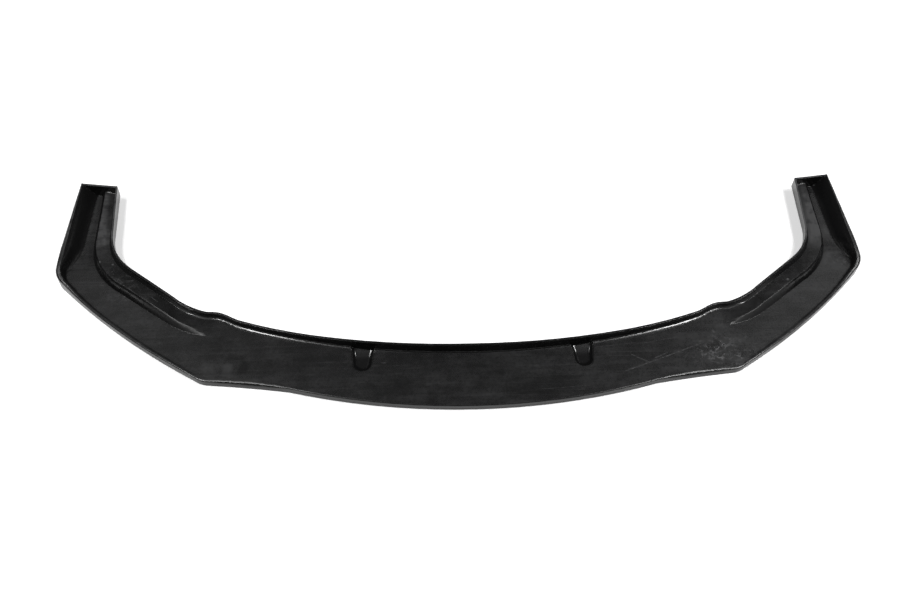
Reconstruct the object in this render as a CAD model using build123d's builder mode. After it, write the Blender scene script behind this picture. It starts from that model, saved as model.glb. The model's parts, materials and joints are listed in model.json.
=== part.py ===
from build123d import *
import os
from math import exp, sqrt

os.makedirs("parts", exist_ok=True)

# Overall size of the lip, in millimetres
half_width = 911.0       # centre line to the outer face of the arm
depth = 644.0            # front of the nose to the rear of the arms
wall = 5.0               # moulded wall
lip_drop = 14.0          # front return lip, below the top of the blade

# Front edge in plan, from the centre to the arm tip
nose_radius = 1390.0     # centre arc
nose_end = 380.0         # where the centre arc ends
kink_x = 563.0           # where the centre section meets the side section
kink_y = 78.0
kink_slope = 0.2         # slope of the centre section at the kink
kink_setback = 14.0      # rounding of the kink
side_bow = 12.0          # bulge of the side section over its chord
corner_y = 355.0         # outer corner
corner_setback = 26.0    # rounding of the corner
arm_lean = 1.0           # arm's outer face, closer to the centre at the corner

# Inner edge in plan, from the centre to the arm tip
blade_mid = 139.7        # blade with the flange on the centre line
heel_radius = 1560.0     # centre arc
heel_end = 345.0         # where the centre arc ends
crook_x = 537.0          # crest of the wave beside the kink
crook_y = 239.5
crook_slope = 0.42       # slope of the wave at its crest
dip_x = 567.0            # hollow of the wave
dip_y = 246.5
flank_x = 640.0          # start of the straight side
flank_y = 283.0
bend_in = 117.0          # apex of the arm's bend, in from the outer face
bend_y = 406.5
bend_setback = 68.0      # length of the bend each side of its apex
tip_in = 88.0            # width of the arm tip
tip_slant = 12.0         # inner corner of the tip, ahead of the outer one

# Heights above the top of the blade
flange_mid = 24.0        # inner flange on the centre line
flange_side = 14.5       # beside the kink
flange_rise = 28.0       # along the pad
rim_rise = 28.0          # rim of the outer wall along the arm
bead_rise = 2.0          # bead along the front of the side section
pad_rise = 18.0          # raised pad beside the flange
pad_fall = 7.0           # drop of the pad towards the arm tip
pad_bank = 4.0           # drop of the pad towards the flange
arm_drop = 4.0           # floor of the arm, below the top of the blade
tip_gap = 0.6            # top of the end wall, below the rim

# Section details
cove = 6.0               # fillet at the foot of the flange, a bevel beside the pad
flange_bevel = 1.0       # bevel of the flange top
rim_bevel = 2.2          # bevel of the rim's inner edge
rim_front = 1.5          # flat on top of the rim, along the front
rim_corner = 4.5         # at the corner
rim_tip = 1.0            # at the arm tip
front_roll = 3.0         # rounding of the front edge
scoop_roll = 8.0         # softer rounding beside the kink
corner_roll = 7.0        # rounding of the rim's outer edge at the corner
tip_roll = 3.0           # at the arm tip
foot_fillet = 6.0        # fillet at the foot of the outer wall
front_slope = 3.0        # run of the wall's inner slope, along the front
elbow_slope = 22.0       # past the corner
tip_slope = 25.0         # at the arm tip
step_run = 13.0          # width of the pad's slope
pad_width = 39.5         # pad with the flange
pad_tip = 31.0           # at the arm tip
hollow_lift = 0.5        # underside behind the front lip, above the blade's underside
hollow_land = 2.5        # level strip there
under_dip = 0.2          # underside at the foot of the pad, below the blade's underside
end_bevel = 2.0          # foot of the end wall
tip_round = 3.5          # inner corner of the arm tip

# Where the section changes along the lip
flange_reach = 480.0     # the flange is at its lowest this far from the centre line
scoop_x = 470.0          # middle of the soft front edge
scoop_reach = 55.0       # half of its length
bead_reach = 57.0        # the bead is full this far past the kink
rim_lead = 95.0          # the rim starts this far ahead of the corner
rim_lag = 75.0           # and is full this far past it
swell_lead = 65.0        # the rim's flat starts to widen this far ahead of the corner
swell_lag = 25.0         # and is widest this far past it
slope_lead = 15.0        # the wall's slope starts to widen this far past the corner
slope_lag = 90.0         # and is full this far past it
drop_lag = 100.0         # the arm's floor is full this far past the corner
taper_lead = 25.0        # the pad starts to narrow this far before the arm's bend
pad_lead = 22.0          # the pad starts this far before the hollow of the wave
pad_lag = 93.0           # and is full this far past it

# Fixing pockets beside the flange
pocket_x = 232.0         # pocket centre from the centre line
pocket_width = 49.0      # mouth at the flange
pocket_length = 61.0     # mouth to the round end
pocket_end = 20.0        # radius of the round end
pocket_depth = 10.0      # floor below the top of the blade
pocket_slope = 7.0       # run of the pocket walls
pocket_toe = 7.0         # further run of the wall at the round end
pocket_wall = 4.0        # floor and wall of the pocket
pocket_bite = 0.5        # rear of the pocket, into the flange
pocket_bevel = 1.2       # bevel of the pocket's rim


def ramp(value, start, end):
    share = min(max((value - start) / (end - start), 0.0), 1.0)
    return share * share * (3 - 2 * share)


def blend(start, end, share):
    return start + (end - start) * share


def toward(start, end, length):
    return start + (end - start).normalized() * length


def sagitta(radius, reach):
    return radius - sqrt(radius**2 - reach**2)


# Guide curves in plan
nose_rise = sagitta(nose_radius, nose_end)
nose_slope = nose_end / (nose_radius - nose_rise)
heel_rise = sagitta(heel_radius, heel_end)
heel_slope = heel_end / (heel_radius - heel_rise)
kink = Vector(kink_x, kink_y)
corner = Vector(half_width - arm_lean, corner_y)
tip = Vector(half_width, depth)
flank = Vector(flank_x, flank_y)
bend = Vector(half_width - bend_in, bend_y)
inner_tip = Vector(half_width - tip_in, depth - tip_slant)
side_start = toward(kink, corner, kink_setback)
side_end = toward(corner, kink, corner_setback)
side_out = (side_end - side_start).normalized().rotate(Axis.Z, -90)
scoop_end = kink - Vector(1, kink_slope) * kink_setback

with BuildLine() as front_edge:
    nose_arc = ThreePointArc(
        (0, 0), (nose_end / 2, sagitta(nose_radius, nose_end / 2)), (nose_end, nose_rise)
    )
    scoop_curve = Spline(
        nose_arc @ 1, scoop_end, tangents=[(1, nose_slope), (1, kink_slope)]
    )
    kink_curve = Bezier(scoop_end, kink, side_start)
    side_arc = ThreePointArc(
        side_start, (side_start + side_end) / 2 + side_out * side_bow, side_end
    )
    corner_curve = Bezier(side_end, corner, toward(corner, tip, corner_setback))
    arm_line = Line(corner_curve @ 1, tip)

with BuildLine() as inner_edge:
    heel_arc = ThreePointArc(
        (0, blade_mid),
        (heel_end / 2, blade_mid + sagitta(heel_radius, heel_end / 2)),
        (heel_end, blade_mid + heel_rise),
    )
    rise_curve = Spline(
        heel_arc @ 1, (crook_x, crook_y), tangents=[(1, heel_slope), (1, crook_slope)]
    )
    wave_curve = Spline(
        (crook_x, crook_y), (dip_x, dip_y), flank, tangents=[(1, crook_slope), bend - flank]
    )
    flank_line = Line(flank, toward(bend, flank, bend_setback))
    bend_curve = Bezier(flank_line @ 1, bend, toward(bend, inner_tip, bend_setback))
    reach_line = Line(bend_curve @ 1, inner_tip)

# Stretches of the lip, each a row of sections from a point of the front edge to one of the inner
centre_run = [
    (nose_arc @ 0.0, heel_arc @ 0.0),
    (nose_arc @ 0.5, heel_arc @ 0.5),
    (nose_arc @ 1.0, heel_arc @ 1.0),
]
scoop_run = [
    (nose_arc @ 1.0, heel_arc @ 1.0),
    (scoop_curve @ 0.5, rise_curve @ 0.52),
    (scoop_curve @ 1.0, rise_curve @ 1.0),
]
kink_run = [
    (scoop_curve @ 1.0, rise_curve @ 1.0),
    (kink_curve @ 0.5, wave_curve @ 0.13),
    (kink_curve @ 1.0, wave_curve @ 0.26),
]
side_run = [
    (kink_curve @ 1.0, wave_curve @ 0.26),
    (side_arc @ 0.13, wave_curve @ 0.6),
    (side_arc @ 0.29, wave_curve @ 1.0),
]
flank_run = [
    (side_arc @ 0.29, wave_curve @ 1.0),
    (side_arc @ 0.48, flank_line @ 0.5),
    (side_arc @ 0.67, flank_line @ 1.0),
]
corner_run = [
    (side_arc @ 0.67, flank_line @ 1.0),
    (side_arc @ 0.84, bend_curve @ 0.22),
    (side_arc @ 1.0, bend_curve @ 0.42),
]
turn_run = [
    (side_arc @ 1.0, bend_curve @ 0.42),
    (corner_curve @ 0.5, bend_curve @ 0.5),
    (corner_curve @ 1.0, bend_curve @ 0.6),
]
elbow_run = [
    (corner_curve @ 1.0, bend_curve @ 0.6),
    (arm_line @ 0.13, bend_curve @ 0.78),
    (arm_line @ 0.28, bend_curve @ 1.0),
]
arm_run = [
    (arm_line @ 0.28, bend_curve @ 1.0),
    (arm_line @ 0.6, reach_line @ 0.44),
    (arm_line @ 1.0, reach_line @ 1.0),
]


def section(front, inner):
    across = (inner - front).normalized()
    width = (inner - front).length

    # Shares of each feature at this section
    past = front.Y - corner_y
    rim_up = ramp(past, -rim_lead, rim_lag)
    bead_up = ramp(front.X, kink_x, kink_x + bead_reach)
    pad_up = ramp(inner.X, dip_x - pad_lead, dip_x + pad_lag)
    soft = exp(-(((front.X - scoop_x) / scoop_reach) ** 2))
    arm_end = depth - corner_y

    # Outer wall
    rim = blend(bead_rise * bead_up, rim_rise, rim_up)
    floor = -arm_drop * ramp(past, 0, drop_lag)
    rim_roll = blend(corner_roll, tip_roll, ramp(past, swell_lag, arm_end))
    roll = blend(blend(front_roll, scoop_roll, soft), rim_roll, rim_up)
    flat = blend(rim_front, rim_corner, ramp(past, -swell_lead, swell_lag))
    flat = blend(flat, rim_tip, ramp(past, swell_lag, arm_end))
    slope = blend(front_slope, elbow_slope, ramp(past, slope_lead, slope_lag))
    slope = blend(slope, tip_slope, ramp(past, slope_lag, arm_end))
    crest = Vector(roll + flat, rim)
    lap = roll + flat + rim_bevel
    foot = lap + slope
    height = rim - floor
    shoulder = Vector(lap + 0.15 * slope, rim - 0.15 * height)
    toe = Vector(lap + 0.7 * slope, floor + 0.3 * height)
    hollow = floor - wall + hollow_lift + (rim - 1.5 * wall - floor) * rim_up

    # Pad and flange
    pad = pad_rise * pad_up - pad_fall * ramp(inner.Y, bend_y, depth)
    pad_in = blend(pad_width, pad_tip, ramp(inner.Y, bend_y - taper_lead, depth))
    step = width - pad_in - step_run
    under = step + 0.8 * wall
    face = width - wall
    bank = pad_bank * pad_up
    heel = pad - bank
    lean = bank * cove / (face - step - step_run)
    cove_start = Vector(face - cove, heel + lean)
    cove_end = Vector(face, heel + cove)
    cove_pull = blend(Vector(face, heel), (cove_start + cove_end) / 2, pad_up)
    lip = blend(flange_mid, flange_side, ramp(inner.X, 0, flange_reach))
    top = blend(lip, flange_rise, pad_up)

    with BuildSketch(Plane(front, x_dir=across, z_dir=across.rotate(Axis.Z, -90))) as outline:
        with BuildLine():
            Line((0, -lip_drop), (0, rim - roll))
            Bezier((0, rim - roll), (0, rim), (roll, rim))
            Line((roll, rim), crest)
            Bezier(crest, (crest + shoulder) / 2, shoulder)
            Line(shoulder, toe)
            Bezier(toe, (foot, floor), (foot + foot_fillet, floor))
            Line((foot + foot_fillet, floor), (step, floor))
            Bezier((step, floor), (step + 0.5 * step_run, pad), (step + step_run, pad))
            Line((step + step_run, pad), cove_start)
            Bezier(cove_start, cove_pull, cove_end)
            Polyline(
                cove_end,
                (face, top - flange_bevel),
                (face + flange_bevel, top),
                (width, top),
                (width, heel - wall),
                (under + 0.7 * step_run, pad - wall),
                (under + 0.3 * step_run, floor - wall - under_dip),
                (foot, floor - wall),
                (wall + hollow_land, hollow),
                (wall, hollow),
                (wall, -lip_drop),
                (0, -lip_drop),
            )
        make_face()
    return outline.sketch


# Flange face at the pocket, and its slope in plan
flange_face = blade_mid + sagitta(heel_radius, pocket_x) - wall
face_slope = pocket_x / sqrt(heel_radius**2 - pocket_x**2)
pocket_front = flange_face - pocket_length


def pocket_outline(level, grow, back, toe=0.0):
    half = pocket_width / 2 + grow
    end = pocket_end + grow
    rear = flange_face + back
    left = (pocket_x - end, pocket_front + pocket_end + toe)
    right = (pocket_x + end, pocket_front + pocket_end + toe)
    with BuildSketch(Plane.XY.offset(level), mode=Mode.PRIVATE) as outline:
        with BuildLine():
            Polyline(
                left,
                (pocket_x - half, rear - face_slope * half),
                (pocket_x + half, rear + face_slope * half),
                right,
            )
            ThreePointArc(right, (pocket_x, pocket_front - grow + toe), left)
        make_face()
    return outline.sketch


with BuildPart() as splitter_lip:
    for run in (
        centre_run, scoop_run, kink_run, side_run, flank_run, corner_run, turn_run, elbow_run, arm_run
    ):
        loft([section(front, inner) for front, inner in run])

    # End wall across the arm tip, with its foot bevelled and its inner corner rounded
    tip_across = (inner_tip - tip).normalized()
    tip_width = (inner_tip - tip).length
    tip_plane = Plane(tip, x_dir=tip_across, z_dir=tip_across.rotate(Axis.Z, -90))
    tip_pad = pad_rise - pad_fall
    tip_step = tip_width - pad_tip - step_run
    with BuildSketch(tip_plane):
        with BuildLine():
            Polyline(
                (wall / 2, -lip_drop),
                (wall / 2, rim_rise - tip_gap),
                (tip_width - wall / 2, flange_rise - tip_gap),
                (tip_width - wall / 2, tip_pad - pad_bank - wall / 2),
                (tip_step + step_run, tip_pad - wall / 2),
                (tip_step, -lip_drop),
                close=True,
            )
        make_face()
    extrude(amount=-wall)
    pad_root = tip_plane.from_local_coords((tip_width - pad_tip / 2, tip_pad - pad_bank / 2, -wall))
    chamfer(splitter_lip.edges().sort_by_distance(pad_root)[0], length=end_bevel)
    inner_corner = tip_plane.from_local_coords((tip_width, blend(tip_pad, flange_rise, 0.4), 0))
    fillet(splitter_lip.edges().sort_by_distance(inner_corner)[0], radius=tip_round)

    # Fixing pocket: its body under the blade, its hollow, then the bevel of its rim
    extrude(pocket_outline(-lip_drop, pocket_wall, wall / 2), amount=lip_drop - wall / 2)
    mouth = pocket_outline(0, 0, pocket_bite)
    seat = pocket_outline(-pocket_depth, -pocket_slope, pocket_bite, pocket_toe)
    loft([mouth, seat], ruled=True, mode=Mode.SUBTRACT)
    extrude(mouth, amount=cove, mode=Mode.SUBTRACT)
    lead_in = pocket_outline(0, pocket_bevel, -cove)
    extrude(lead_in, amount=-pocket_bevel, taper=45, mode=Mode.SUBTRACT)

    mirror(about=Plane.YZ)

# Stand the lip on its lower edge, centred on the origin
splitter_lip.part.position = (0, -depth / 2, lip_drop)
splitter_lip.part.label = "splitter_lip"
export_step(splitter_lip.part, "parts/splitter_lip.step")
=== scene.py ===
import json
import math
import bpy
from mathutils import Matrix, Vector

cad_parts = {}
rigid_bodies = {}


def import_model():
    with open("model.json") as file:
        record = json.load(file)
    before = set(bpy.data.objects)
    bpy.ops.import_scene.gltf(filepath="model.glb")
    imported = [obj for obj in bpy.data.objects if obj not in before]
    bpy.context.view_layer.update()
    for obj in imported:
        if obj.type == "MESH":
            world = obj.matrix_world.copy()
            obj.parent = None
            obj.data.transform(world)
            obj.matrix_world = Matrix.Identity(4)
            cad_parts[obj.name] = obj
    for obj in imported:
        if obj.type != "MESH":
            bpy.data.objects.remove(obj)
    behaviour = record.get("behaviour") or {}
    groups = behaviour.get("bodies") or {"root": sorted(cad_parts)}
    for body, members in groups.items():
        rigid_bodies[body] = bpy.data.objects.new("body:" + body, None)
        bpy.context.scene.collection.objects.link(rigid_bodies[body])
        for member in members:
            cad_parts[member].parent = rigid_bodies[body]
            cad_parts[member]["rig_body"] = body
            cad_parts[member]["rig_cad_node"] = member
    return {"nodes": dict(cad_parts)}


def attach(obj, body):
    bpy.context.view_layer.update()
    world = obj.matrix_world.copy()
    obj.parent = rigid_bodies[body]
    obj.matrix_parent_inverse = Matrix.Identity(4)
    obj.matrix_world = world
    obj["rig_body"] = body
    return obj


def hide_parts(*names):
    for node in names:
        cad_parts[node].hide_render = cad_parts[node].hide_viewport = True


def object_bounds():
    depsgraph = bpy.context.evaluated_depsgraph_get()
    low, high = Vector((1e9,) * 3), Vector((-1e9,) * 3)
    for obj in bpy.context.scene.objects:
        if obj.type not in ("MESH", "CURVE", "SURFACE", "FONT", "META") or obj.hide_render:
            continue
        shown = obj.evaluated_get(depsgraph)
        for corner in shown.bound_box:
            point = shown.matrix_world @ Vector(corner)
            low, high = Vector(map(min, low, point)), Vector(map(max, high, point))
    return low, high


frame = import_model()
cadLow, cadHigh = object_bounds()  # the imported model's own box
bpy.context.scene.view_settings.view_transform = "Standard"
print("frame loaded")


def deselectAll():
    if bpy.context.mode != "OBJECT":
        bpy.ops.object.mode_set(mode="OBJECT")
    bpy.ops.object.select_all(action="DESELECT")


def deselectMesh(shape):
    for parts in (shape.data.polygons, shape.data.edges, shape.data.vertices):
        parts.foreach_set("select", [False] * len(parts))


def selectFaces(shape, wanted):
    # leaves edit mode on, with only the wanted faces selected
    bpy.ops.object.mode_set(mode="OBJECT")
    deselectMesh(shape)
    for face in shape.data.polygons:
        face.select = wanted(face)
    bpy.ops.object.mode_set(mode="EDIT")
    bpy.ops.mesh.select_mode(type="FACE")


def addNode(tree, kind, sockets=None, **settings):
    node = tree.nodes.new(kind)
    for name, value in settings.items():
        setattr(node, name, value)
    for name, value in (sockets or {}).items():
        if isinstance(value, bpy.types.NodeSocket):
            tree.links.new(value, node.inputs[name])
        else:
            node.inputs[name].default_value = value
    return node


def addMath(tree, operation, first, second=0.0):
    return addNode(tree, "ShaderNodeMath", {0: first, 1: second}, operation=operation).outputs[0]


def addVector(tree, operation, first, second):
    sockets = {0: first, 1: second}
    return addNode(tree, "ShaderNodeVectorMath", sockets, operation=operation).outputs["Vector"]


def addLength(tree, vector):
    return addNode(tree, "ShaderNodeVectorMath", {0: vector}, operation="LENGTH").outputs["Value"]


def addAxes(tree, vector):
    return addNode(tree, "ShaderNodeSeparateXYZ", {"Vector": vector}).outputs


def addRange(tree, value, low, high, bottom=0.0, top=1.0):
    sockets = {"Value": value, "From Min": low, "From Max": high, "To Min": bottom, "To Max": top}
    return addNode(tree, "ShaderNodeMapRange", sockets, interpolation_type="SMOOTHSTEP").outputs["Result"]


def addNoise(tree, place, scale, detail=3.0, roughness=0.55, stretch=None):
    if stretch:
        place = addNode(tree, "ShaderNodeMapping", {"Vector": place, "Scale": stretch}).outputs["Vector"]
    sockets = {"Vector": place, "Scale": scale, "Detail": detail, "Roughness": roughness}
    return addNode(tree, "ShaderNodeTexNoise", sockets).outputs["Fac"]


def addBump(tree, height, bump, normal=None, invert=False):
    strength, distance = bump
    sockets = {"Strength": strength, "Distance": distance, "Height": height}
    if normal:
        sockets["Normal"] = normal
    return addNode(tree, "ShaderNodeBump", sockets, invert=invert).outputs["Normal"]


def addColour(tree, share, first, second):
    # the colour sockets of a mix node share their names with its number sockets
    return addNode(tree, "ShaderNodeMix", {"Factor": share, 6: first, 7: second}, data_type="RGBA").outputs[2]


def addSeen(tree):
    # one for the rays that show a surface, and none for those that would light the lip
    rays = addNode(tree, "ShaderNodeLightPath").outputs
    seen = addMath(tree, "ADD", rays["Is Camera Ray"], rays["Is Glossy Ray"])
    return addMath(tree, "ADD", seen, rays["Is Transmission Ray"])


def startGroup(name, vectors, numbers):
    group = bpy.data.node_groups.new(name, "ShaderNodeTree")
    for label in vectors:
        group.interface.new_socket(label, in_out="INPUT", socket_type="NodeSocketVector")
    for label in numbers:
        group.interface.new_socket(label, in_out="INPUT", socket_type="NodeSocketFloat")
    group.interface.new_socket("Mask", in_out="OUTPUT", socket_type="NodeSocketFloat")
    return group, group.nodes.new("NodeGroupInput").outputs


def endGroup(group, mask):
    group.links.new(mask, group.nodes.new("NodeGroupOutput").inputs["Mask"])
    return group


# marks on the plastic and one painted sheen, in metres on the part
scuffs = {
    "scratches": [  # start, end, width, strength
        ((0.308, -0.2485), (0.500, -0.1735), 0.0017, 0.62),
        ((0.333, -0.202), (0.372, -0.2265), 0.0016, 0.62),
        ((0.380, -0.2145), (0.415, -0.199), 0.0016, 0.62),
        ((0.258, -0.182), (0.350, -0.172), 0.0012, 0.28),
        ((0.340, -0.178), (0.452, -0.157), 0.0012, 0.32),
        ((-0.194, -0.210), (-0.183, -0.2105), 0.0016, 0.55),
        ((0.130, -0.286), (0.240, -0.279), 0.0012, 0.25),
        ((-0.020, -0.296), (0.020, -0.297), 0.0012, 0.25),
        ((-0.745, -0.002), (-0.690, -0.062), 0.0018, 0.45),
        ((-0.690, -0.030), (-0.672, -0.046), 0.0016, 0.45),
    ],
    "wobble": 0.0025,  # how far a scratch wanders
    "wobbleScale": 60.0,
    "lineEdge": 1.0,  # shares of the width where a scratch begins and is full
    "lineFull": 0.2,
    "fadeIn": 0.08,  # shares of the length where a scratch is full and begins to fade
    "fadeOut": 0.85,
    "gritScale": 240.0,  # how finely a scratch breaks up
    "gritSpan": (0.35, 0.60),
    "gritLeast": 0.25,
    "palerPatches": [  # middle, half sizes, strength of the paler film; the last, along the right arm, is a painted sheen
        ((-0.506, -0.214), (0.014, 0.020), 0.24),
        ((-0.470, -0.245), (0.090, 0.014), 0.08),
        ((0.520, -0.190), (0.060, 0.050), 0.10),
        ((0.845, 0.045), (0.045, 0.045), 0.15),
        ((-0.110, -0.255), (0.030, 0.016), 0.10),
        # painted sheen along the right arm
        ((0.818, 0.175), (0.060, 0.180), 0.22),
    ],
    "smudges": [  # middle, half sizes, strength of the wiped, darker patches
        ((-0.535, -0.160), (0.045, 0.040), 0.60),
        ((-0.500, -0.190), (0.026, 0.012), 0.75),
        ((-0.476, -0.217), (0.016, 0.018), 0.70),
        ((0.515, -0.185), (0.030, 0.022), 0.60),
        ((-0.667, -0.036), (0.016, 0.010), 0.70),
        ((-0.648, -0.054), (0.018, 0.009), 0.70),
        ((0.600, -0.130), (0.050, 0.040), 0.35),
    ],
    "swirls": [  # middle, half sizes, strength of the curly scuffing
        ((0.530, -0.198), (0.072, 0.062), 0.80),
        ((0.862, 0.056), (0.030, 0.026), 0.40),
        ((-0.765, 0.020), (0.050, 0.080), 0.30),
    ],
    "curls": [  # noise scale, level and half width of the contours that the scuffing follows
        (42.0, 0.50, 0.035),
        (85.0, 0.48, 0.045),
    ],
    "gapScale": 90.0,  # noise that breaks the curls up
    "gapSpan": (0.40, 0.58),
    "dulled": [  # middle, half sizes, added roughness of the pads' front slopes
        ((-0.605, -0.100), (0.140, 0.110), 0.30),
        ((0.625, -0.095), (0.140, 0.110), 0.60),
    ],
    "chips": [  # middle, half size, strength of the pale specks
        ((-0.820, 0.073), 0.0045, 0.8),
        ((-0.790, 0.067), 0.0035, 0.6),
        ((-0.754, 0.000), 0.0040, 0.8),
        ((-0.752, -0.014), 0.0035, 0.7),
        ((0.719, -0.015), 0.0045, 0.7),
    ],
    "patchEdge": 1.1,  # shares of the half sizes where a patch begins and is full
    "patchFull": 0.2,
    "raggedScale": 32.0,  # noise that frays the patches' edges
    "raggedReach": 2.0,
}


def scratchGroup():
    group, given = startGroup("scratchLine", ["Place", "Start"], ["Angle", "Length", "Width"])
    offset = addVector(group, "SUBTRACT", given["Place"], given["Start"])
    turned = addNode(
        group, "ShaderNodeVectorRotate", {"Vector": offset, "Angle": given["Angle"]},
        rotation_type="Z_AXIS", invert=True,
    ).outputs["Vector"]
    axes = addAxes(group, turned)
    wander = addNoise(group, given["Place"], scuffs["wobbleScale"], detail=1.0)
    drift = addMath(group, "MULTIPLY", addMath(group, "SUBTRACT", wander, 0.5), scuffs["wobble"])
    across = addMath(group, "ABSOLUTE", addMath(group, "ADD", axes["Y"], drift))
    core = addMath(group, "DIVIDE", across, given["Width"])
    line = addRange(group, core, scuffs["lineEdge"], scuffs["lineFull"])
    share = addMath(group, "DIVIDE", axes["X"], given["Length"])
    start = addRange(group, share, 0.0, scuffs["fadeIn"])
    end = addRange(group, share, 1.0, scuffs["fadeOut"])
    noise = addNoise(group, given["Place"], scuffs["gritScale"], detail=2.0)
    grit = addRange(group, noise, *scuffs["gritSpan"], scuffs["gritLeast"], 1.0)
    mask = addMath(group, "MULTIPLY", line, addMath(group, "MULTIPLY", start, end))
    return endGroup(group, addMath(group, "MULTIPLY", mask, grit))


def patchGroup():
    group, given = startGroup("softPatch", ["Place", "Middle", "Sizes"], ["Edge"])
    flat = addVector(group, "MULTIPLY", given["Place"], (1.0, 1.0, 0.0))  # height makes no difference
    offset = addVector(group, "SUBTRACT", flat, given["Middle"])
    reach = addLength(group, addVector(group, "DIVIDE", offset, given["Sizes"]))
    frayed = addMath(group, "ADD", reach, given["Edge"])
    return endGroup(group, addRange(group, frayed, scuffs["patchEdge"], scuffs["patchFull"]))


def addPatch(tree, group, place, edge, middle, sizes):
    spot = addNode(tree, "ShaderNodeGroup", node_tree=group)
    spot.inputs["Middle"].default_value = (*middle, 0.0)
    spot.inputs["Sizes"].default_value = (*sizes, 1.0)
    tree.links.new(place, spot.inputs["Place"])
    if edge:
        tree.links.new(edge, spot.inputs["Edge"])
    return spot.outputs["Mask"]


# satin black plastic with handling marks, painted shade and painted sheen
plastic = {
    "black": (0.0040, 0.0040, 0.0041, 1),
    "filmAndPaintedLight": (0.048, 0.048, 0.0488, 1),  # dry film all over the level faces, laid on thicker as a painted sheen on the arms' pads
    "scored": (0.085, 0.085, 0.087, 1),  # bottom of a scratch
    "filmLayers": [  # noise scale, detail, roughness and stretch, span of the noise, span of the film
        (8.0, 4.0, 0.55, (0.6, 1.4, 1.0), (0.25, 0.75), (0.11, 0.30)),  # clouds
        (55.0, 4.0, 0.60, (0.15, 1.5, 1.0), (0.30, 0.70), (0.75, 1.25)),  # rubbing along the blade
        (170.0, 4.0, 0.65, None, (0.25, 0.75), (0.65, 1.35)),  # fine mottle
        (26.0, 3.0, 0.55, None, (0.30, 0.70), (0.70, 1.30)),  # blotches
        (130.0, 2.0, 0.55, (0.05, 1.4, 1.0), (0.55, 0.75), (0.95, 1.60)),  # hairlines along the blade
    ],
    "padStart": 0.020,  # height where the raised pads begin
    "padFull": 0.030,
    "armStart": 0.05,  # where the darker diagonal pads, a painted shade, turn into the arms, whose paler pads are a painted sheen
    "armFull": 0.16,
    "armSheen": -3.5,
    "smearScale": 38.0,  # uneven smears in the painted shade and sheen on the pads
    "smearSpan": (0.42, 0.68),
    "smearMost": 0.97,
    "smearLeast": 0.1,
    "sunkFloor": 0.006,  # heights between which the film thins out in the pockets, as painted shade in the recesses
    "sunkRim": 0.0095,
    "pocketShadeFilm": 0.15,
    "levelStart": 0.85,  # rise of the faces that hold film and marks
    "levelFull": 0.98,
    "slopeStart": 0.99,  # rise of the faces that count as slopes
    "slopeFull": 0.93,
    "gloss": 0.24,
    "dull": 0.40,
    "filmWear": 0.6,  # how much the film and the grain dull the gloss
    "grainWear": 0.4,
    "grainScale": 420.0,
    "waveScale": 14.0,
    "waveStretch": (0.5, 1.2, 1.0),
    "grainBump": (0.04, 0.0006),  # strength and depth
    "waveBump": (0.25, 0.004),
    "scratchBump": (0.4, 0.0004),
    "edgeRound": 0.0012,
    "edgeSamples": 8,
    "sheen": 0.7,  # weight of the glossier skin left in the foot of the flange
    "sheenRoughness": 0.09,
    "footMiddle": -0.183,  # the foot's line: its place at the middle and how it curves back
    "footCurve": 0.32,
    "footFront": -0.022,  # how far ahead of that line the skin begins and is full
    "footFull": -0.012,
    "footFade": 0.64,  # where it fades out along the flange
    "footEnd": 0.70,
}


def addFilmAndPaintedLight(tree, place, patches, ragged):
    filmAndPaintedLight = 1.0
    for scale, detail, roughness, stretch, noiseSpan, filmSpan in plastic["filmLayers"]:
        noise = addNoise(tree, place, scale, detail, roughness, stretch)
        filmAndPaintedLight = addMath(tree, "MULTIPLY", filmAndPaintedLight, addRange(tree, noise, *noiseSpan, *filmSpan))
    for middle, sizes, strength in scuffs["palerPatches"]:
        palerPatch = addPatch(tree, patches, place, ragged, middle, sizes)
        filmAndPaintedLight = addMath(tree, "ADD", filmAndPaintedLight, addMath(tree, "MULTIPLY", palerPatch, strength))
    for middle, sizes, strength in scuffs["smudges"]:
        smudge = addPatch(tree, patches, place, ragged, middle, sizes)
        kept = addMath(tree, "SUBTRACT", 1.0, addMath(tree, "MULTIPLY", smudge, strength))
        filmAndPaintedLight = addMath(tree, "MULTIPLY", filmAndPaintedLight, kept)

    # painted shade: thin film in the pockets and on the diagonal pads; painted sheen: thicker film on the
    # arms' pads
    axes = addAxes(tree, place)
    # painted shade: less film on the pockets' floors
    pocketShade = addRange(tree, axes["Z"], plastic["sunkFloor"], plastic["sunkRim"], plastic["pocketShadeFilm"], 1.0)
    filmAndPaintedLight = addMath(tree, "MULTIPLY", filmAndPaintedLight, pocketShade)
    raised = addRange(tree, axes["Z"], plastic["padStart"], plastic["padFull"])
    ahead = addRange(tree, axes["Y"], plastic["armStart"], plastic["armFull"], 1.0, plastic["armSheen"])
    noise = addNoise(tree, place, plastic["smearScale"], detail=4.0, roughness=0.6)
    smear = addRange(tree, noise, *plastic["smearSpan"], plastic["smearMost"], plastic["smearLeast"])
    # painted shade on the diagonal pads, painted sheen on the arms' pads
    padShadeArmSheen = addMath(tree, "MULTIPLY", addMath(tree, "MULTIPLY", raised, ahead), smear)
    return addMath(tree, "MULTIPLY", filmAndPaintedLight, addMath(tree, "SUBTRACT", 1.0, padShadeArmSheen))


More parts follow.
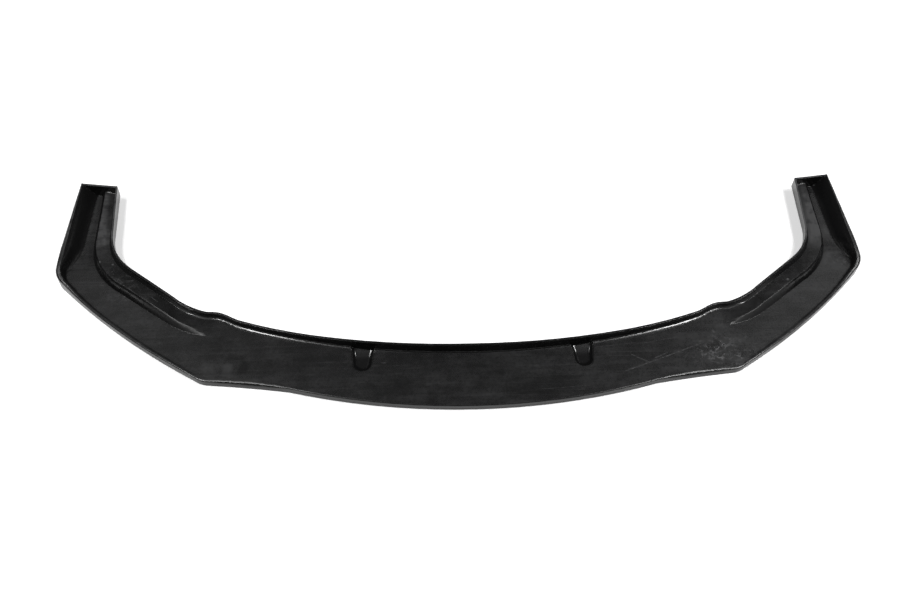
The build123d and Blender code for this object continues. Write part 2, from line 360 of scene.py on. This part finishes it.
def addMarks(tree, place, patches, ragged):
    # curly scuffing along the contours of two noises
    curly = 0.0
    for scale, level, width in scuffs["curls"]:
        noise = addNoise(tree, place, scale, detail=2.0, roughness=0.5)
        contour = addMath(tree, "ABSOLUTE", addMath(tree, "SUBTRACT", noise, level))
        curly = addMath(tree, "MAXIMUM", curly, addRange(tree, contour, width, 0.0))
    broken = addRange(tree, addNoise(tree, place, scuffs["gapScale"]), *scuffs["gapSpan"])
    curly = addMath(tree, "MULTIPLY", curly, broken)

    # the scuffed places, then chips and scratches
    marks = 0.0
    for middle, sizes, strength in scuffs["swirls"]:
        swirl = addMath(tree, "MULTIPLY", addPatch(tree, patches, place, ragged, middle, sizes), curly)
        marks = addMath(tree, "MAXIMUM", marks, addMath(tree, "MULTIPLY", swirl, strength))
    for middle, size, strength in scuffs["chips"]:
        chip = addPatch(tree, patches, place, None, middle, (size, size))
        marks = addMath(tree, "MAXIMUM", marks, addMath(tree, "MULTIPLY", chip, strength))
    lines = scratchGroup()
    for start, end, width, strength in scuffs["scratches"]:
        run = Vector(end) - Vector(start)
        line = addNode(tree, "ShaderNodeGroup", node_tree=lines)
        tree.links.new(place, line.inputs["Place"])
        line.inputs["Start"].default_value = (*start, 0.0)
        line.inputs["Angle"].default_value = math.atan2(run.y, run.x)
        line.inputs["Length"].default_value = run.length
        line.inputs["Width"].default_value = width
        marks = addMath(tree, "MAXIMUM", marks, addMath(tree, "MULTIPLY", line.outputs["Mask"], strength))
    return marks


def addSheen(tree, place):
    # handling has dulled the faces, and the foot of the flange keeps its gloss
    axes = addAxes(tree, place)
    curve = addMath(tree, "MULTIPLY", addMath(tree, "POWER", axes["X"], 2.0), plastic["footCurve"])
    ahead = addMath(tree, "SUBTRACT", addMath(tree, "SUBTRACT", axes["Y"], plastic["footMiddle"]), curve)
    strip = addRange(tree, ahead, plastic["footFront"], plastic["footFull"], 0.0, plastic["sheen"])
    aside = addMath(tree, "ABSOLUTE", axes["X"])
    return addMath(tree, "MULTIPLY", strip, addRange(tree, aside, plastic["footEnd"], plastic["footFade"]))


def makePlastic():
    material = bpy.data.materials.new("satinBlackPlastic")
    material.use_nodes = True
    tree = material.node_tree
    shader = tree.nodes["Principled BSDF"]
    place = addNode(tree, "ShaderNodeTexCoord").outputs["Object"]
    rise = addAxes(tree, addNode(tree, "ShaderNodeNewGeometry").outputs["Normal"])["Z"]
    level = addRange(tree, rise, plastic["levelStart"], plastic["levelFull"])
    sloping = addRange(tree, rise, plastic["slopeStart"], plastic["slopeFull"])

    # film with painted shade and sheen, and marks
    noise = addNoise(tree, place, scuffs["raggedScale"], detail=2.0)
    ragged = addMath(tree, "MULTIPLY", addMath(tree, "SUBTRACT", noise, 0.5), scuffs["raggedReach"])
    patches = patchGroup()
    filmAndPaintedLight = addMath(tree, "MULTIPLY", addFilmAndPaintedLight(tree, place, patches, ragged), level)
    marks = addMath(tree, "MULTIPLY", addMarks(tree, place, patches, ragged), level)
    # film colour where dust lies, thinned as painted shade and thickened as painted sheen
    dustAndPaintedLight = addColour(tree, filmAndPaintedLight, plastic["black"], plastic["filmAndPaintedLight"])
    tree.links.new(addColour(tree, marks, dustAndPaintedLight, plastic["scored"]), shader.inputs["Base Color"])

    # gloss, duller under film and on the pads' front slopes
    grain = addNoise(tree, place, plastic["grainScale"], detail=2.0)
    filmWear = addMath(tree, "MULTIPLY", filmAndPaintedLight, plastic["filmWear"])
    grainWear = addMath(tree, "MULTIPLY", grain, plastic["grainWear"])
    worn = addMath(tree, "ADD", filmWear, grainWear)
    rough = addRange(tree, worn, 0.0, 1.0, plastic["gloss"], plastic["dull"])
    for middle, sizes, strength in scuffs["dulled"]:
        slope = addMath(tree, "MULTIPLY", addPatch(tree, patches, place, None, middle, sizes), sloping)
        rough = addMath(tree, "ADD", rough, addMath(tree, "MULTIPLY", slope, strength))
    tree.links.new(rough, shader.inputs["Roughness"])
    tree.links.new(addSheen(tree, place), shader.inputs["Coat Weight"])
    shader.inputs["Coat Roughness"].default_value = plastic["sheenRoughness"]

    # rounded edges, moulded grain, slow waves and scratches, with only the waves in the glossier skin
    rounded = addNode(
        tree, "ShaderNodeBevel", {"Radius": plastic["edgeRound"]}, samples=plastic["edgeSamples"]
    ).outputs["Normal"]
    waves = addNoise(tree, place, plastic["waveScale"], detail=2.0, stretch=plastic["waveStretch"])
    grained = addBump(tree, grain, plastic["grainBump"], rounded)
    wavy = addBump(tree, waves, plastic["waveBump"], grained)
    scratched = addBump(tree, marks, plastic["scratchBump"], wavy, invert=True)
    tree.links.new(scratched, shader.inputs["Normal"])
    tree.links.new(addBump(tree, waves, plastic["waveBump"]), shader.inputs["Coat Normal"])
    return material


# lip shell: the moulded blade, its flange, pads and arms as one smooth skin
lip = {
    "node": "splitter_lip",
    "body": "root",
    "slot": "black_plastic",
    "mergeGap": 0.00002,
    "smoothAngle": 32,
    "kneeAt": 0.535,  # knees where the flange swings round the pads' fronts
    "kneeShift": 0.005,
    "kneeReach": 0.04,  # how far the shift fades out
    "kneeGrip": 0.004,  # half width of the points that are taken hold of
    "kneeFront": -0.092,
    "kneeBack": -0.055,
    "kneeSpread": 0.056,  # half width and front of the stretch that is cut finer
    "kneeCutFront": -0.132,
    "kneeCuts": 3,
    "pocketAt": 0.232,  # pockets whose floors climb to the foot of the flange
    "pocketHalf": 0.024,
    "pocketFront": -0.222,
    "pocketBack": -0.155,
    "pocketFloor": 0.004,
    "pocketTop": 0.0135,
    "pocketSlack": 0.001,  # looseness in picking by height
    "pocketLevel": 0.98,  # rise of the floor's faces
    "pocketOpen": 0.1,  # least rise of the faces that show from above
    "pocketFlat": 0.02,  # angle within which the floor becomes one face
    "pocketRound": 0.003,  # rounding between floor and walls
    "pocketRoundSteps": 3,
    "pocketCuts": 5,
    "pocketClimb": 0.006,
    "pocketRun": 0.025,
}


def bendKnee(shell, side):
    middle = side * lip["kneeAt"]

    def nearKnee(face):
        return abs(face.center.x - middle) < lip["kneeSpread"] and face.center.y > lip["kneeCutFront"]

    selectFaces(shell, nearKnee)
    bpy.ops.mesh.subdivide(number_cuts=lip["kneeCuts"])
    bpy.ops.object.mode_set(mode="OBJECT")
    deselectMesh(shell)
    for point in shell.data.vertices:
        inside = lip["kneeFront"] < point.co.y < lip["kneeBack"]
        point.select = inside and abs(point.co.x - middle) < lip["kneeGrip"]
    print("knee", side, sum(point.select for point in shell.data.vertices), "points")
    bpy.ops.object.mode_set(mode="EDIT")
    bpy.ops.mesh.select_mode(type="VERT")
    bpy.ops.transform.translate(
        value=(0, lip["kneeShift"], 0), use_proportional_edit=True,
        proportional_edit_falloff="SMOOTH", proportional_size=lip["kneeReach"],
    )


def climbPocket(shell, side):
    middle = side * lip["pocketAt"]
    floorLow = lip["pocketFloor"] - lip["pocketSlack"]
    floorHigh = lip["pocketFloor"] + lip["pocketSlack"]

    def inPocket(place, top):
        across = abs(place.x - middle) < lip["pocketHalf"]
        along = lip["pocketFront"] < place.y < lip["pocketBack"]
        return across and along and floorLow < place.z < top

    def onFloor(face):
        return face.normal.z > lip["pocketLevel"] and inPocket(face.center, floorHigh)

    def inside(face):
        return face.normal.z > lip["pocketOpen"] and inPocket(face.center, lip["pocketTop"])

    # round the floor into its walls, then cut the pocket finer
    selectFaces(shell, onFloor)
    bpy.ops.mesh.dissolve_limited(angle_limit=lip["pocketFlat"])
    bpy.ops.mesh.region_to_loop()
    bpy.ops.mesh.bevel(
        offset=lip["pocketRound"], segments=lip["pocketRoundSteps"], affect="EDGES", clamp_overlap=False
    )
    selectFaces(shell, inside)
    bpy.ops.mesh.quads_convert_to_tris()
    bpy.ops.mesh.subdivide(number_cuts=lip["pocketCuts"])

    # lift the back end of the floor in a smooth step, and the walls less and less towards the rim
    bpy.ops.object.mode_set(mode="OBJECT")
    points = [point for point in shell.data.vertices if inPocket(point.co, lip["pocketTop"])]
    back = max(point.co.y for point in points)
    for point in points:
        share = max(0.0, 1 - (back - point.co.y) / lip["pocketRun"])
        climb = lip["pocketClimb"] * share * share * (3 - 2 * share)
        depth = (lip["pocketTop"] - point.co.z) / (lip["pocketTop"] - lip["pocketFloor"])
        point.co.z += climb * depth
    print("pocket", side, len(points), "points")


def makeLipShell(material):
    deselectAll()
    source = frame["nodes"][lip["node"]]
    source.select_set(True)
    bpy.context.view_layer.objects.active = source
    bpy.ops.object.duplicate()
    shell = bpy.context.view_layer.objects.active
    shell.name = "lipShell"
    shell.data.name = "lipShell"
    for key in ("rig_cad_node", "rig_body"):  # the copy isn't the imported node
        del shell[key]
    bpy.ops.object.mode_set(mode="EDIT")
    bpy.ops.mesh.select_all(action="SELECT")
    bpy.ops.mesh.customdata_custom_splitnormals_clear()
    bpy.ops.mesh.remove_doubles(threshold=lip["mergeGap"])
    for side in (-1, 1):
        bendKnee(shell, side)
        climbPocket(shell, side)
    bpy.ops.object.shade_smooth_by_angle(angle=math.radians(lip["smoothAngle"]))
    weighted = shell.modifiers.new("evenShading", "WEIGHTED_NORMAL")
    weighted.keep_sharp = True
    bpy.ops.object.modifier_apply(modifier=weighted.name)
    shell.data.materials.clear()
    shell.data.materials.append(material)
    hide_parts(lip["node"])
    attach(shell, lip["body"])
    return shell


satinPlastic = makePlastic()
print("plastic mixed,", len(satinPlastic.node_tree.nodes), "nodes")
lipShell = makeLipShell(satinPlastic)
print("lip shell", len(lipShell.data.polygons), "faces")


# pale studio floor
floor = {
    "size": 60.0,
    "colour": (0.86, 0.86, 0.86, 1),
    "roughness": 0.7,
    "shine": 0.2,
    "glowColour": (1, 1, 1, 1),
    "nearGlow": 0.35,  # lift to white close to the lip, where its shadow shows
    "farGlow": 1.0,
    "glowStart": 0.6,
    "glowEnd": 2.2,
}


def makeFloor():
    deselectAll()
    bpy.ops.mesh.primitive_plane_add(size=floor["size"], location=(0, 0, cadLow.z))
    sheet = bpy.context.active_object
    sheet.name = "studioFloor"
    material = bpy.data.materials.new("paleFloor")
    material.use_nodes = True
    tree = material.node_tree
    shader = tree.nodes["Principled BSDF"]
    shader.inputs["Base Color"].default_value = floor["colour"]
    shader.inputs["Roughness"].default_value = floor["roughness"]
    shader.inputs["Specular IOR Level"].default_value = floor["shine"]
    shader.inputs["Emission Color"].default_value = floor["glowColour"]
    reach = addLength(tree, addNode(tree, "ShaderNodeTexCoord").outputs["Object"])
    glow = addRange(tree, reach, floor["glowStart"], floor["glowEnd"], floor["nearGlow"], floor["farGlow"])
    tree.links.new(addMath(tree, "MULTIPLY", addSeen(tree), glow), shader.inputs["Emission Strength"])
    sheet.data.materials.append(material)


makeFloor()
print("floor laid")


# soft studio lamps: place, size, strength in watts, and the point each looks at
lamps = {
    "leftLamp": {"place": (-1.55, -0.1, 2.5), "size": (1.4, 0.6), "watts": 55, "aim": (-0.4, -0.1, 0)},
    "rightLamp": {"place": (1.85, -0.1, 2.5), "size": (1.5, 0.6), "watts": 70, "aim": (0.4, -0.1, 0)},
    "backRight": {"place": (2.2, 2.0, 2.25), "size": (0.8, 0.45), "watts": 1.2, "aim": (0.8, 0.1, 0)},
    "backLeft": {"place": (-1.7, 2.0, 2.25), "size": (1.2, 0.45), "watts": 0.85, "aim": (-0.8, 0.1, 0)},
    "armRight": {"place": (1.5, 2.0, 2.08), "size": (0.4, 0.35), "watts": 0.25, "aim": (0.8, 0.2, 0)},
}


def makeLamps():
    for name, lamp in lamps.items():
        deselectAll()
        toward = Vector(lamp["aim"]) - Vector(lamp["place"])
        turn = toward.to_track_quat("-Z", "Y").to_euler()
        bpy.ops.object.light_add(type="AREA", location=lamp["place"], rotation=turn)
        light = bpy.context.active_object
        light.name = name
        light.data.shape = "RECTANGLE"
        light.data.size, light.data.size_y = lamp["size"]
        light.data.energy = lamp["watts"]


makeLamps()
print("lamps set")


# even, faint light all round, with a pale horizon behind the floor
world = {
    "colour": (1.0, 1.0, 1.0, 1),
    "strength": 0.035,
    "horizon": 1.0,
    "hazeLow": 0.05,  # heights between which the horizon fades out
    "hazeHigh": 0.12,
}


def makeWorld():
    sky = bpy.data.worlds.new("studioWorld")
    sky.use_nodes = True
    tree = sky.node_tree
    back = tree.nodes["Background"]
    back.inputs["Color"].default_value = world["colour"]
    height = addAxes(tree, addNode(tree, "ShaderNodeTexCoord").outputs["Generated"])["Z"]
    palerPatch = addRange(tree, height, world["hazeLow"], world["hazeHigh"], world["horizon"], 0.0)
    pale = addMath(tree, "ADD", addMath(tree, "MULTIPLY", addSeen(tree), palerPatch), world["strength"])
    tree.links.new(pale, back.inputs["Strength"])
    bpy.context.scene.world = sky


makeWorld()
print("world set")


# camera as the photograph was taken, with its angles in degrees
camera = {
    "aim": (0.0, -0.0621, 0.014),
    "distance": 2.0,
    "azimuth": -4.95,
    "elevation": 50.0,
    "roll": 2.646,
    "sensor": 36,
    "lens": 35.69,
    "shift": -0.01125,
    "clipEnd": 50,
}


def makeCamera():
    turn, rise, roll = (math.radians(camera[key]) for key in ("azimuth", "elevation", "roll"))
    back = Vector(
        (math.sin(turn) * math.cos(rise), -math.cos(turn) * math.cos(rise), math.sin(rise))
    )
    right = (-back).cross(Vector((0, 0, 1))).normalized()
    up = right.cross(-back)
    across = right * math.cos(roll) + up * math.sin(roll)
    above = up * math.cos(roll) - right * math.sin(roll)
    deselectAll()
    bpy.ops.object.camera_add(location=Vector(camera["aim"]) + back * camera["distance"])
    view = bpy.context.active_object
    view.name = "photoCamera"
    view.rotation_euler = Matrix((across, above, back)).transposed().to_euler()
    view.data.sensor_width = camera["sensor"]
    view.data.lens = camera["lens"]
    view.data.shift_x = camera["shift"]
    view.data.clip_end = camera["clipEnd"]
    bpy.context.scene.camera = view


makeCamera()
print("camera set")

bpy.context.view_layer.update()
